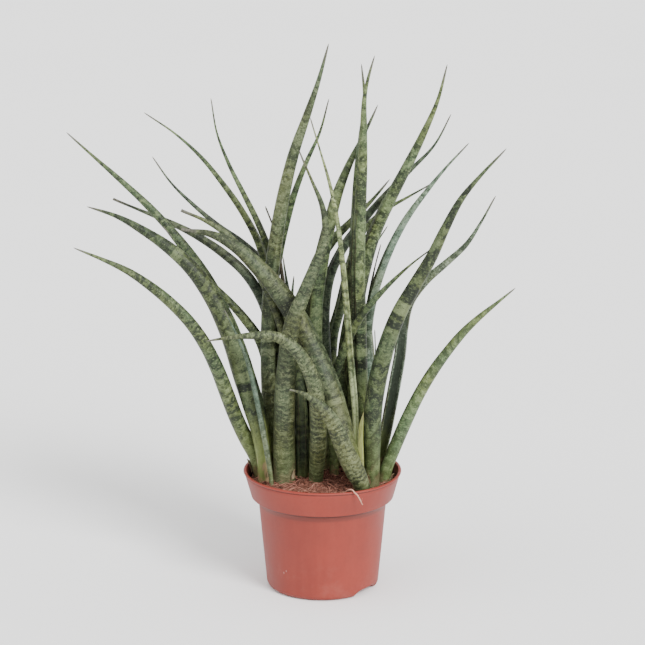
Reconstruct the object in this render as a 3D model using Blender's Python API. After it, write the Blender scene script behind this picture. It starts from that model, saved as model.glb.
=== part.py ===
"""A cylindrical snake plant in a round plastic nursery pot.

Z is up, the pot stands on z = 0 and its axis is the z axis. The front is -y. Every leaf is a piece of its own,
set in a pocket of the rooted coir that fills the pot.
"""

import math

import bmesh
import bpy
import numpy as np

MM = 0.001

# Pot
POT_HEIGHT = 91 * MM
RIM_RADIUS = 60 * MM
BAND_HEIGHT = 20 * MM
BAND_TAPER = 5 * MM  # the band is this much narrower at its lower edge
SHOULDER_HEIGHT = 8 * MM
SHOULDER_STEP = 6 * MM
UNDERCUT = 1.8 * MM  # how far the band's lower edge stands over the shoulder
FOOT_RADIUS = 42.5 * MM
FOOT_FILLET = 4.5 * MM
LIP_DEPTH = 1.6 * MM
LIP_PROUD = 0.9 * MM
WALL = 1.4 * MM
FOOT_RING = 4 * MM  # the flat that the pot stands on, inside the fillet
RECESS_DEPTH = 3 * MM
RECESS_WIDTH = 11 * MM
DRAIN_HOLES = 6
DRAIN_RADIUS = 3.2 * MM
NOTCHES = 2
NOTCH_WIDTH = 27 * MM
NOTCH_HEIGHT = 3.6 * MM
NOTCH_DEG = -35.0

# Coir
SOIL_DROP = 9 * MM  # from the lip down to the coir at the wall
SOIL_MOUND = 3 * MM
SOIL_ROUGHNESS = 0.7 * MM
LEAF_DEPTH = 13 * MM  # how far a leaf goes down into the coir
CLEARANCE = 0.3 * MM  # between pieces that touch
FIBRE_START = 0.86  # where the loose fibre leaves the coir, as a share of the way out to the wall
LEAF_SPACING = 1.3 * MM  # smallest gap left between two leaves

# Leaves
LEAF_SIZE = 1.0  # scales the length of every leaf
LEAF_GIRTH = 1.1  # scales the width of every leaf
THICKNESS_SHARE = 0.9  # thickness over width
TIP_RADIUS = 0.45 * MM
CHANNEL_END = 0.72  # the share of the length where the channel has faded out
CHANNEL_DEPTH = 0.8  # depth of the channel over half the thickness
PLAN_RADIUS = 54 * MM  # the coir radius that the planting plan below is drawn for

# Mesh fineness
POT_SEGMENTS = 56
SOIL_SEGMENTS = 32
LEAF_RINGS = 13
SECTION_SIDES = 8
SPINE_SAMPLES = 56
ROOM_ROUNDS = 90

GREEN = "leaf_green"
OLIVE = "leaf_olive"
DARK = "leaf_dark"
BLUE_GREEN = "leaf_blue_green"
DRY = "leaf_dry"
LEAF_COLOURS = {
    GREEN: (0.13, 0.17, 0.09),
    OLIVE: (0.17, 0.18, 0.11),
    DARK: (0.06, 0.08, 0.05),
    BLUE_GREEN: (0.16, 0.22, 0.16),
    DRY: (0.22, 0.17, 0.10),
}

# Each leaf: width in mm, fullness (how late it tapers), base width share, colour, channel bearing in degrees or
# None for a channel that turns away from the lean, and spine points. The first point is (x, y) where the leaf
# leaves the coir. The others are (x, y, height over the coir at the wall), all in mm, the last being the tip.
PLAN = {
    # the left side
    "leaf_left_low": (
        11.5, 3.2, 0.95, GREEN, None,
        [(-47, 11), (-66, -3, 63), (-95, -12, 124), (-138, -20, 165), (-179, -27, 186)],
    ),
    "leaf_left_big": (
        17.5, 2.6, 0.55, GREEN, None,
        [(-43, -3), (-55, 3, 62), (-72, 9, 122), (-100, 14, 165), (-149, 20, 198), (-173, 22, 206)],
    ),
    "leaf_left_high": (
        9.0, 3.4, 0.8, GREEN, None,
        [(-36, 28), (-58, 34, 80), (-82, 38, 140), (-120, 43, 191), (-190, 50, 256)],
    ),
    "leaf_left_mid": (
        8.5, 3.0, 0.8, GREEN, None,
        [(-26, 20), (-43, 24, 98), (-63, 27, 125), (-92, 29, 155), (-118, 31, 188)],
    ),
    "leaf_left_dark": (
        8.5, 4.0, 0.8, DARK, None,
        [(-16, 34), (-28, 42, 80), (-48, 47, 138), (-91, 54, 174), (-158, 62, 203)],
    ),
    "leaf_left_thin": (
        6.5, 3.4, 0.8, DARK, None,
        [(-9, 46), (-24, 54, 90), (-46, 58, 153), (-85, 62, 187), (-112, 64, 212), (-128, 66, 234)],
    ),
    "leaf_left_spear": (
        6.5, 8.0, 0.8, OLIVE, None,
        [(-8, 8), (-24, 18, 90), (-46, 26, 150), (-74, 28, 186), (-105, 28, 202)],
    ),
    "leaf_left_teal": (
        4.4, 4.0, 0.8, BLUE_GREEN, None,
        [(-37, -17), (-46, -13, 57), (-56, -11, 100), (-71, -9, 134)],
    ),
    "leaf_left_upright": (
        7.0, 2.8, 0.8, GREEN, None,
        [(-23, 11), (-32, 36, 110), (-40, 40, 168), (-62, 38, 220), (-76, 37, 251), (-82, 36, 284)],
    ),
    "leaf_left_slant": (
        7.4, 2.8, 0.8, GREEN, None,
        [(-33, 40), (-36, 50, 90), (-45, 54, 166), (-79, 54, 223), (-104, 55, 250), (-132, 56, 270)],
    ),
    "leaf_left_dry": (
        3.4, 2.6, 0.9, DRY, None,
        [(-24, 48), (-32, 44, 110), (-36, 38, 182), (-42, 36, 202)],
    ),
    # the front
    "leaf_front_big": (
        17.0, 4.4, 0.5, OLIVE, None,
        [(30, -26), (13, -11, 61), (-3, -1, 93), (-38, 10, 150), (-74, 13, 184), (-105, 14, 191)],
    ),
    "leaf_tall": (
        10.6, 4.2, 0.9, OLIVE, 250,
        [(-34, 14), (-41, 16, 66), (-38, 25, 140), (-24, 24, 233), (-4, 20, 295), (5, 17, 328)],
    ),
    "leaf_front_bent": (
        16.4, 1.5, 0.9, OLIVE, 270,
        [(-29, -6), (-27, -12, 78), (-22, -14, 124), (-7, -12, 163), (3.5, -9, 198), (-16, -8, 254)],
    ),
    "leaf_front_arch": (
        11.8, 2.9, 0.85, OLIVE, 80,
        [(-5, -10), (-3, -20, 42), (-6, -27, 82), (-16, -31, 106), (-32, -34, 121), (-61, -36, 122), (-84, -37, 119)],
    ),
    "leaf_front_short": (
        14.6, 2.8, 0.52, OLIVE, 60,
        [(31, -36), (16, -41, 36), (3, -42, 65), (-13, -43, 80), (-24, -44, 84)],
    ),
    "leaf_front_inner": (
        9.0, 3.0, 0.95, GREEN, 270,
        [(-15, 0), (-15, 0, 46), (-17, 3, 84), (-21, 8, 118)],
    ),
    "leaf_mid_dark": (
        9.0, 2.6, 0.55, DARK, None,
        [(-15, 18), (-20, 22, 80), (-24, 20, 130), (-29, 17, 168)],
    ),
    # the middle
    "leaf_mid_behind_tall": (
        8.6, 2.8, 0.66, GREEN, None,
        [(-24, 30), (-33, 44, 110), (-29, 42, 170), (-16, 36, 226), (-3, 35, 255), (5, 34, 284)],
    ),
    "leaf_mid_pale": (
        4.8, 3.4, 0.7, BLUE_GREEN, 270,
        [(22, -12), (20, -12, 78), (17, -11, 140), (8, -9, 216), (-9, -4, 277)],
    ),
    "leaf_mid_upright": (
        15.6, 2.4, 0.5, GREEN, None,
        [(1, 18), (-7, 22, 90), (-6, 23, 134), (5, 24, 192), (14, 25, 226), (39, 28, 281)],
    ),
    "leaf_right_tall": (
        11.0, 3.8, 0.8, GREEN, 200,
        [(29, 7), (28, 11, 76), (26, 12, 168), (29, 12, 245), (31, 12, 298), (37, 12, 320)],
    ),
    "leaf_right_tall_behind": (
        9.6, 3.8, 0.6, GREEN, 200,
        [(20, 18), (22, 26, 110), (26, 27, 220), (32, 27, 284), (29, 27, 311)],
    ),
    "leaf_mid_oblique": (
        7.6, 2.6, 0.9, GREEN, 120,
        [(9, 4), (8, 9, 71), (17, 4, 103), (30, -1, 130), (59, -4, 163), (79, -6, 180)],
    ),
    "leaf_mid_slant": (
        12.0, 3.0, 0.5, GREEN, None,
        [(-12, 30), (-10, 38, 138), (2, 40, 168), (35, 41, 204), (50, 41, 222)],
    ),
    # the right side
    "leaf_right_big": (
        14.2, 2.3, 0.75, GREEN, 150,
        [(35, -17), (37, -18, 67), (53, -18, 129), (78, -16, 175), (101, -14, 221), (132, -11, 256)],
    ),
    "leaf_right_low": (
        10.0, 3.2, 0.98, GREEN, 160,
        [(45, -3), (54, -5, 29), (76, -7, 79), (104, -10, 119), (140, -13, 152)],
    ),
    "leaf_right_open": (
        9.0, 2.6, 0.8, BLUE_GREEN, 268,
        [(41, 10), (47, 9, 36), (56, 9, 88), (65, 9, 139), (92, 7, 168), (107, 6, 183), (126, 5, 217)],
    ),
    "leaf_right_blue": (
        9.6, 2.5, 0.85, BLUE_GREEN, 190,
        [(36, 22), (34, 25, 68), (34, 26, 122), (55, 27, 184), (88, 28, 231), (107, 29, 252)],
    ),
    "leaf_right_high": (
        14.4, 2.6, 0.55, GREEN, None,
        [(12, 30), (25, 36, 118), (38, 38, 180), (62, 40, 231), (84, 43, 278), (92, 44, 308)],
    ),
    "leaf_right_far": (
        9.2, 2.6, 0.66, DARK, None,
        [(-2, 38), (2, 52, 128), (12, 56, 160), (50, 57, 210), (84, 58, 245), (96, 58, 268)],
    ),
    "leaf_right_back": (
        9.4, 2.6, 0.9, GREEN, None,
        [(7, 46), (5, 62, 88), (13, 66, 118), (33, 67, 180), (83, 68, 214)],
    ),
    "leaf_right_inner": (
        6.6, 2.4, 0.8, GREEN, None,
        [(24, 34), (27, 46, 110), (38, 50, 166), (48, 50, 184)],
    ),
    "leaf_right_dry": (
        4.8, 2.8, 0.8, DRY, None,
        [(24, 44), (30, 38, 110), (36, 36, 146), (43, 36, 173)],
    ),
    "leaf_right_small": (
        3.6, 2.4, 0.9, GREEN, None,
        [(39, -2), (40, -2, 60), (38, 1, 116)],
    ),
    # the back
    "leaf_back_left": (
        9.6, 2.6, 0.85, GREEN, None,
        [(-24, 39), (-26, 66, 60), (-24, 96, 108), (-22, 118, 128)],
    ),
    "leaf_back_mid": (
        10.8, 2.7, 0.85, GREEN, None,
        [(-6, 26), (-2, 62, 80), (3, 92, 116), (6, 120, 130)],
    ),
    "leaf_back_right": (
        9.4, 2.6, 0.85, OLIVE, None,
        [(33, 34), (36, 64, 62), (34, 88, 102), (28, 108, 124)],
    ),
    "leaf_back_short": (
        8.0, 2.2, 0.9, OLIVE, None,
        [(14, 42), (12, 66, 34), (10, 90, 56), (8, 106, 64)],
    ),
}


def material(name, colour, roughness):
    made = bpy.data.materials.new(name)
    made.use_nodes = True
    shader = made.node_tree.nodes["Principled BSDF"]
    shader.inputs["Base Color"].default_value = (*colour, 1)
    shader.inputs["Roughness"].default_value = roughness
    shader.inputs["Metallic"].default_value = 0
    made.diffuse_color = (*colour, 1)
    return made


def mesh_object(name, points, faces, surface=None):
    mesh = bpy.data.meshes.new(name)
    mesh.from_pydata([tuple(p) for p in points], [], faces)
    shaper = bmesh.new()
    shaper.from_mesh(mesh)
    bmesh.ops.recalc_face_normals(shaper, faces=shaper.faces)
    shaper.to_mesh(mesh)
    shaper.free()
    mesh.shade_smooth()
    made = bpy.data.objects.new(name, mesh)
    bpy.context.scene.collection.objects.link(made)
    if surface:
        mesh.materials.append(surface)
    return made


def turned(name, profile, segments, surface=None, lift=None):
    """A solid of revolution from (radius, z) points that start and end on the axis. `lift` moves a point's z."""
    points = [(0, 0, profile[0][1])]
    faces = []
    rings = []
    for radius, z in profile[1:-1]:
        rings.append(len(points))
        for k in range(segments):
            angle = 2 * math.pi * k / segments
            x, y = radius * math.cos(angle), radius * math.sin(angle)
            points.append((x, y, z + (lift(x, y, z) if lift else 0)))
    last = len(points)
    points.append((0, 0, profile[-1][1] + (lift(0, 0, profile[-1][1]) if lift else 0)))
    for k in range(segments):
        following = (k + 1) % segments
        faces.append((0, rings[0] + following, rings[0] + k))
        faces.append((last, rings[-1] + k, rings[-1] + following))
        for lower, upper in zip(rings, rings[1:]):
            faces.append((lower + k, lower + following, upper + following, upper + k))
    return mesh_object(name, points, faces, surface)


def cut(target, cutter, name):
    """Takes the cutter, an object or a collection of them, out of the target."""
    modifier = target.modifiers.new(name, "BOOLEAN")
    modifier.operation = "DIFFERENCE"
    modifier.solver = "EXACT"
    if isinstance(cutter, bpy.types.Collection):
        modifier.operand_type = "COLLECTION"
        modifier.collection = cutter
    else:
        modifier.object = cutter


def hide_cutter(cutter):
    cutter.hide_render = True
    cutter.display_type = "WIRE"


# Pot wall: radii of the outside at its corners, from the foot up.
BAND_FOOT = POT_HEIGHT - BAND_HEIGHT
BODY_TOP = BAND_FOOT - SHOULDER_HEIGHT
BAND_TOP_RADIUS = RIM_RADIUS - LIP_PROUD
BAND_FOOT_RADIUS = BAND_TOP_RADIUS - BAND_TAPER
BODY_TOP_RADIUS = BAND_FOOT_RADIUS - SHOULDER_STEP
FLOOR_TOP = RECESS_DEPTH + WALL
RECESS_OUTER = FOOT_RADIUS - FOOT_FILLET - FOOT_RING
RECESS_INNER = RECESS_OUTER - RECESS_WIDTH


def fillet(radius_at, z_at, size, steps):
    """Points of the rounded foot edge, from the flat underside round to the wall."""
    for k in range(steps + 1):
        angle = math.pi / 2 * k / steps
        yield radius_at - size + size * math.sin(angle), z_at + size - size * math.cos(angle)


def inner_radius(z):
    """Radius of the inside of the pot wall at height z."""
    heights = [FLOOR_TOP, BODY_TOP + WALL, BAND_FOOT + WALL, POT_HEIGHT]
    radii = [
        FOOT_RADIUS - WALL,
        BODY_TOP_RADIUS - WALL,
        BAND_FOOT_RADIUS - WALL,
        BAND_TOP_RADIUS - WALL,
    ]
    return float(np.interp(z, heights, radii))


def pot():
    surface = material("terracotta_plastic", (0.50, 0.125, 0.08), 0.55)
    outside = [(0, 0), (RECESS_INNER, 0), (RECESS_INNER, RECESS_DEPTH)]
    outside += [(RECESS_OUTER, RECESS_DEPTH), (RECESS_OUTER, 0)]
    outside += list(fillet(FOOT_RADIUS, 0, FOOT_FILLET, 4))
    outside += [
        (BODY_TOP_RADIUS, BODY_TOP),
        (BAND_FOOT_RADIUS - UNDERCUT, BAND_FOOT - 0.5 * UNDERCUT),
        (BAND_FOOT_RADIUS, BAND_FOOT),
        (BAND_TOP_RADIUS, POT_HEIGHT - LIP_DEPTH),
        (RIM_RADIUS, POT_HEIGHT - 0.75 * LIP_DEPTH),
        (RIM_RADIUS, POT_HEIGHT - 0.25 * LIP_DEPTH),
        (RIM_RADIUS - 0.25 * LIP_DEPTH, POT_HEIGHT),
    ]
    inside = [
        (inner_radius(POT_HEIGHT) + 0.2 * WALL, POT_HEIGHT),
        (inner_radius(POT_HEIGHT), POT_HEIGHT - 0.25 * LIP_DEPTH),
        (inner_radius(BAND_FOOT + WALL), BAND_FOOT + WALL),
        (inner_radius(BODY_TOP + WALL), BODY_TOP + WALL),
        (inner_radius(FLOOR_TOP), FLOOR_TOP),
        (0, FLOOR_TOP),
    ]
    body = turned("pot", outside + inside, POT_SEGMENTS, surface)
    drains = bpy.data.collections.new("drains")
    bpy.context.scene.collection.children.link(drains)
    for k in range(DRAIN_HOLES):
        angle = 2 * math.pi * (k + 0.5) / DRAIN_HOLES
        middle = (RECESS_INNER + RECESS_OUTER) / 2
        profile = [(0, -WALL), (DRAIN_RADIUS, -WALL), (DRAIN_RADIUS, FLOOR_TOP + WALL), (0, FLOOR_TOP + WALL)]
        drill = turned(f"drain_{k}", profile, 16)
        drill.location = (middle * math.cos(angle), middle * math.sin(angle), 0)
        move_to(drill, drains)
    for k in range(NOTCHES):
        drill = notch_cutter(f"notch_{k}")
        drill.rotation_euler.z = math.radians(NOTCH_DEG + 360 * k / NOTCHES)
        move_to(drill, drains)
    cut(body, drains, "drains_and_notches")


def move_to(helper, collection):
    bpy.context.scene.collection.objects.unlink(helper)
    collection.objects.link(helper)
    hide_cutter(helper)


def notch_cutter(name):
    """An arched bar along +x that goes through the foot ring."""
    start = (RECESS_INNER + RECESS_OUTER) / 2
    end = FOOT_RADIUS + FOOT_FILLET
    arch = [(-NOTCH_WIDTH / 2, -NOTCH_HEIGHT), (NOTCH_WIDTH / 2, -NOTCH_HEIGHT)]
    for k in range(9):
        angle = math.pi * k / 8
        arch.append((NOTCH_WIDTH / 2 * math.cos(angle), NOTCH_HEIGHT * math.sin(angle) ** 0.6))
    count = len(arch)
    points = [(x, y, z) for x in (start, end) for y, z in arch]
    faces = [tuple(range(count)), tuple(range(2 * count - 1, count - 1, -1))]
    faces += [(k, (k + 1) % count, count + (k + 1) % count, count + k) for k in range(count)]
    return mesh_object(name, points, faces)


def soil_height(x, y):
    """Height of the coir surface over its height at the wall: a low mound with a little roughness."""
    radius = math.hypot(x, y) / inner_radius(SOIL_LEVEL)
    mound = SOIL_MOUND * max(0.0, 1 - radius * radius)
    waves = math.sin(310 * x + 1.3) * math.cos(270 * y - 0.4) + 0.6 * math.sin(560 * y + 190 * x)
    return mound + SOIL_ROUGHNESS * waves * min(1.0, 2.5 * max(0.0, 1 - radius))


SOIL_LEVEL = POT_HEIGHT - SOIL_DROP


def soil():
    surface = material("coir", (0.11, 0.045, 0.025), 0.95)
    profile = [(0, FLOOR_TOP + CLEARANCE)]
    for z in (FLOOR_TOP + CLEARANCE, BODY_TOP + WALL, BAND_FOOT + WALL, SOIL_LEVEL):
        profile.append((inner_radius(z) - 1.5 * CLEARANCE, z))
    rim = profile[-1][0]
    profile += [(rim * share, SOIL_LEVEL) for share in (0.86, 0.66, 0.46, 0.24)]
    profile.append((0, SOIL_LEVEL))

    def lift(x, y, z):
        on_top = z >= SOIL_LEVEL - 1e-9 and math.hypot(x, y) < rim - 1e-6
        return soil_height(x, y) if on_top else 0.0

    return turned("soil", profile, SOIL_SEGMENTS, surface, lift)


def smooth_curve(points, count):
    """`count` points evenly spaced along a Catmull-Rom curve through the given points."""
    points = np.asarray(points, float)
    ends = np.vstack([2 * points[0] - points[1], points, 2 * points[-1] - points[-2]])
    steps = np.linalg.norm(np.diff(ends, axis=0), axis=1) ** 0.5
    knots = np.concatenate([[0], np.cumsum(steps)])
    fine = []
    for i in range(1, len(ends) - 2):
        for t in np.linspace(knots[i], knots[i + 1], 24, endpoint=i == len(ends) - 3):
            fine.append(centripetal(ends[i - 1 : i + 3], knots[i - 1 : i + 3], t))
    fine = np.array(fine)
    run = np.concatenate([[0], np.cumsum(np.linalg.norm(np.diff(fine, axis=0), axis=1))])
    even = np.linspace(0, run[-1], count)
    return np.column_stack([np.interp(even, run, fine[:, axis]) for axis in range(3)])


def centripetal(four, knots, t):
    """A point of the centripetal Catmull-Rom piece between the two middle points."""

    def between(a, b, i, j):
        return ((knots[j] - t) * a + (t - knots[i]) * b) / (knots[j] - knots[i])

    a1, a2, a3 = (between(four[i], four[i + 1], i, i + 1) for i in range(3))
    b1, b2 = between(a1, a2, 0, 2), between(a2, a3, 1, 3)
    return between(b1, b2, 1, 2)


def tangents(spine):
    along = np.gradient(spine, axis=0)
    return along / np.linalg.norm(along, axis=1)[:, None]


class Leaf:
    """One leaf: its spine, its width and thickness along it, and which way its channel opens."""

    def __init__(self, name, width, fullness, base_share, colour, bearing, plan):
        self.name, self.colour = name, colour
        self.width = width * MM * LEAF_GIRTH
        self.fullness, self.base_share = fullness, base_share
        root = np.array([*plan[0], 0.0]) * MM
        outward = root * (inner_radius(SOIL_LEVEL) / PLAN_RADIUS - 1)
        rises = [(np.array(p) * MM - root) * LEAF_SIZE + root + outward for p in plan[1:]]
        # Just under the surface the leaf keeps the direction that it has above it.
        foot = root + outward
        lean = rises[0] - foot
        lean = lean / np.linalg.norm(lean)
        foot_end = foot + 0.3 * lean * LEAF_DEPTH - np.array([0, 0, 0.85 * LEAF_DEPTH])
        spine = smooth_curve([foot_end, foot, *rises], SPINE_SAMPLES)
        self.spine = spine + np.array([0, 0, SOIL_LEVEL])
        if bearing is None:
            away = -(spine[-1] - spine[0])[:2] - 0.5 * foot[:2]
            self.channel = np.array([*away / np.linalg.norm(away), 0.8])
        else:
            turn = math.radians(bearing)
            self.channel = np.array([math.cos(turn), math.sin(turn), 0.35])

    def half_width(self, share):
        """Half the leaf's width at a share of its length."""
        rise = np.clip(share / 0.3, 0, 1)
        rise = self.base_share + (1 - self.base_share) * rise * rise * (3 - 2 * rise)
        return np.maximum(self.width / 2 * rise * (1 - share**self.fullness), TIP_RADIUS)

    def frames(self):
        """Unit vectors along the leaf, across it, and out of its channel, at each spine point."""
        along = tangents(self.spine)
        out = self.channel - along * (along @ self.channel)[:, None]
        out /= np.linalg.norm(out, axis=1)[:, None]
        return along, np.cross(along, out), out

    def reach(self, which, direction, frames):
        """How far the section at each spine point in `which` goes in a unit direction."""
        _, across, out = frames
        half = self.half_width(np.linspace(0, 1, SPINE_SAMPLES))[which]
        sideways = (direction * across[which]).sum(-1) * half
        deep = (direction * out[which]).sum(-1) * half * THICKNESS_SHARE
        return np.sqrt(sideways**2 + deep**2)


def make_room(leaves):
    """Bends the leaves a little away from each other and from the pot until every gap is wide enough."""
    share = np.linspace(0, 1, SPINE_SAMPLES)
    for _ in range(ROOM_ROUNDS):
        frames = [leaf.frames() for leaf in leaves]
        boxes = [(leaf.spine.min(0), leaf.spine.max(0)) for leaf in leaves]
        pushes = [np.zeros((SPINE_SAMPLES, 3)) for _ in leaves]
        for i, one in enumerate(leaves):
            for j in range(i + 1, len(leaves)):
                two = leaves[j]
                reach = (one.width + two.width) / 2 + LEAF_SPACING
                apart = np.maximum(boxes[i][0] - boxes[j][1], boxes[j][0] - boxes[i][1])
                if apart.max() > reach:
                    continue
                between = one.spine[:, None] - two.spine[None]
                distance = np.linalg.norm(between, axis=2)
                near = np.argwhere(distance < reach)
                if not len(near):
                    continue
                a, b = near[:, 0], near[:, 1]
                gap = between[a, b]
                # Only the part square to both leaves separates them.
                level = np.cross(frames[i][0][a], frames[j][0][b])
                size = np.linalg.norm(level, axis=1)
                square = gap - frames[i][0][a] * (gap * frames[i][0][a]).sum(1)[:, None]
                crossing = level * (np.sign((level * gap).sum(1)) / np.maximum(size, 1e-9))[:, None]
                sure = np.clip(size * 3 - 1, 0, 1)[:, None]
                way = square / np.maximum(np.linalg.norm(square, axis=1), 1e-9)[:, None]
                way = way * (1 - sure) + crossing * sure
                way /= np.maximum(np.linalg.norm(way, axis=1), 1e-9)[:, None]
                need = one.reach(a, way, frames[i]) + two.reach(b, way, frames[j]) + LEAF_SPACING
                short = need - (gap * way).sum(1)
                slide = np.linalg.norm(gap - way * (gap * way).sum(1)[:, None], axis=1)
                step = max(np.linalg.norm(np.diff(leaf.spine[:2], axis=0)) for leaf in (one, two))
                short[slide > 1.5 * step] = 0
                worst = int(np.argmax(short))
                if short[worst] <= 0:
                    continue
                move = 0.5 * short[worst] * way[worst]
                for k, at, sign in ((i, share[a[worst]], 1), (j, share[b[worst]], -1)):
                    pushes[k] += sign * move * np.exp(-(((share - at) / 0.16) ** 2))[:, None]
        for k, leaf in enumerate(leaves):
            leaf.spine = leaf.spine + pushes[k]
            half = leaf.half_width(share)
            low = leaf.spine[:, 2] < POT_HEIGHT + half
            level = np.clip(leaf.spine[:, 2], FLOOR_TOP, POT_HEIGHT)
            room = np.array([inner_radius(z) for z in level]) - half - 4 * CLEARANCE
            radius = np.hypot(leaf.spine[:, 0], leaf.spine[:, 1])
            over = np.where(low, np.maximum(radius - room, 0), 0)
            if over.max() > 0:
                at = share[int(np.argmax(over))]
                inward = -leaf.spine[int(np.argmax(over)), :2] / radius[int(np.argmax(over))]
                fade = np.exp(-(((share - at) / 0.2) ** 2))[:, None]
                leaf.spine[:, :2] += inward * over.max() * fade


def section(half, deep, channel):
    """Outline of a leaf across its length: round, with a groove down the middle of its inner side."""
    outline = []
    for k in range(SECTION_SIDES):
        angle = 2 * math.pi * k / SECTION_SIDES
        groove = CHANNEL_DEPTH * channel * max(0.0, math.sin(angle)) ** 8
        outline.append((half * math.cos(angle), deep * (math.sin(angle) - groove)))
    return outline


def tube(leaf, stops, grow, hollow):
    """Rings of a leaf at the given shares of its length, grown outwards by `grow`, with the faces between them."""
    share = np.linspace(0, 1, SPINE_SAMPLES)
    along, across, out = leaf.frames()
    points, faces = [], []
    for at in stops:
        place, side, up, ahead = (
            np.array([np.interp(at, share, values[:, axis]) for axis in range(3)])
            for values in (leaf.spine, across, out, along)
        )
        if at == 0:
            place = place - ahead * grow
        half = float(leaf.half_width(at))
        channel = float(np.clip((CHANNEL_END - at) / 0.35, 0, 1)) if hollow else 0
        for u, v in section(half + grow, half * THICKNESS_SHARE + grow, channel):
            points.append(place + side * u + up * v)
    for ring in range(len(stops) - 1):
        for k in range(SECTION_SIDES):
            a, b = ring * SECTION_SIDES + k, ring * SECTION_SIDES + (k + 1) % SECTION_SIDES
            faces.append((a, b, b + SECTION_SIDES, a + SECTION_SIDES))
    faces.append(tuple(range(SECTION_SIDES))[::-1])
    return points, faces


RING_STOPS = np.linspace(0, 1, LEAF_RINGS)


def leaf_object(leaf, surface):
    points, faces = tube(leaf, RING_STOPS, 0, True)
    tip, first = len(points), len(points) - SECTION_SIDES
    points.append(leaf.spine[-1] + tangents(leaf.spine)[-1] * 3 * TIP_RADIUS)
    for k in range(SECTION_SIDES):
        faces.append((first + k, first + (k + 1) % SECTION_SIDES, tip))
    mesh_object(leaf.name, points, faces, surface)


def pocket_cutter(leaf):
    """The leaf's own lower rings up to where it is clear of the coir, grown by the clearance."""
    share = np.linspace(0, 1, SPINE_SAMPLES)
    top = SOIL_LEVEL + SOIL_MOUND + 3 * SOIL_ROUGHNESS + leaf.width / 2
    clear = float(np.interp(top, leaf.spine[:, 2], share))
    stops = RING_STOPS[: 1 + int(np.searchsorted(RING_STOPS, clear))]
    points, faces = tube(leaf, stops, 1.8 * CLEARANCE, False)
    faces.append(tuple(range(len(points) - SECTION_SIDES, len(points))))
    return mesh_object("pocket_" + leaf.name, points, faces)


def loose_fibre():
    """One coir fibre that has been pulled out over the lip at the front."""
    surface = material("coir_fibre", (0.45, 0.16, 0.09), 0.8)
    thick = 0.6 * MM
    angle = math.radians(-73)
    way = np.array([math.cos(angle), math.sin(angle), 0])
    side = np.array([-way[1], way[0], 0])
    lip = RIM_RADIUS + thick + CLEARANCE
    top = POT_HEIGHT + thick + CLEARANCE
    path = [
        way * FIBRE_START * inner_radius(SOIL_LEVEL) + np.array([0, 0, SOIL_LEVEL + 3.2 * MM]),
        way * (RIM_RADIUS - 6 * MM) + side * 2 * MM + np.array([0, 0, POT_HEIGHT - 1 * MM]),
        way * (RIM_RADIUS - WALL) + side * 4 * MM + np.array([0, 0, top + 0.6 * MM]),
        way * (lip + 1 * MM) + side * 7 * MM + np.array([0, 0, POT_HEIGHT - 1 * MM]),
        way * (lip + 1.2 * MM) + side * 12 * MM + np.array([0, 0, POT_HEIGHT - 10 * MM]),
    ]
    spine = smooth_curve(path, 14)
    along = tangents(spine)
    points, faces = [], []
    sides = 5
    for place, ahead in zip(spine, along):
        across = np.cross(ahead, [0.3, 0.2, 1.0])
        across /= np.linalg.norm(across)
        up = np.cross(across, ahead)
        for k in range(sides):
            turn = 2 * math.pi * k / sides
            points.append(place + thick * (math.cos(turn) * across + math.sin(turn) * up))
    for ring in range(len(spine) - 1):
        for k in range(sides):
            a, b = ring * sides + k, ring * sides + (k + 1) % sides
            faces.append((a, b, b + sides, a + sides))
    faces.append(tuple(range(sides))[::-1])
    faces.append(tuple(range(len(points) - sides, len(points))))
    mesh_object("loose_coir_fibre", points, faces, surface)


def main():
    for old in list(bpy.data.objects):
        bpy.data.objects.remove(old)
    pot()
    rooted = soil()
    leaves = [Leaf(name, *values) for name, values in PLAN.items()]
    make_room(leaves)
    surfaces = {name: material(name, colour, 0.5) for name, colour in LEAF_COLOURS.items()}
    pockets = bpy.data.collections.new("pockets")
    bpy.context.scene.collection.children.link(pockets)
    for leaf in leaves:
        leaf_object(leaf, surfaces[leaf.colour])
        move_to(pocket_cutter(leaf), pockets)
    cut(rooted, pockets, "leaf_pockets")
    loose_fibre()


main()
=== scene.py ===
"""Looks of the potted snake plant.

Every packed leaf is rebuilt from its own rings with a channel, margins, cross bands and a dry tip. The pot is
turned with its rolled lip and arched notches, and the coir gets its lumps, chips and fibres.
"""

import math
import random

import bmesh
import bpy
import numpy as np
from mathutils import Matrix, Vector, noise


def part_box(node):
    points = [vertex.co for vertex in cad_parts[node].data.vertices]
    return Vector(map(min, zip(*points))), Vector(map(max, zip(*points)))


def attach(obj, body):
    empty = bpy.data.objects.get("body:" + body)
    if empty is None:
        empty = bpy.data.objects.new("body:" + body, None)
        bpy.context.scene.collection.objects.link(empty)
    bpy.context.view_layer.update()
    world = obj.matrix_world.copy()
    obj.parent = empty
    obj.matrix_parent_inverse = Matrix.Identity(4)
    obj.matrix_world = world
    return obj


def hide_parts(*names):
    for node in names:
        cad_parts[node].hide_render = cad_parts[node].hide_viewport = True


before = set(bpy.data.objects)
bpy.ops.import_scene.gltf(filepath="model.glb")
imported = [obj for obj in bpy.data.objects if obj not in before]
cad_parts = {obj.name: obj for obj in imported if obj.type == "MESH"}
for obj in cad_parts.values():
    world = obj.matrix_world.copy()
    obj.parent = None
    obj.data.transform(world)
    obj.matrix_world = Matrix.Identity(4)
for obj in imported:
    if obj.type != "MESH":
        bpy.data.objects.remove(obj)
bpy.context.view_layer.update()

MM = 0.001
RANDOM = random.Random(20)
BODY = "root"

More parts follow.
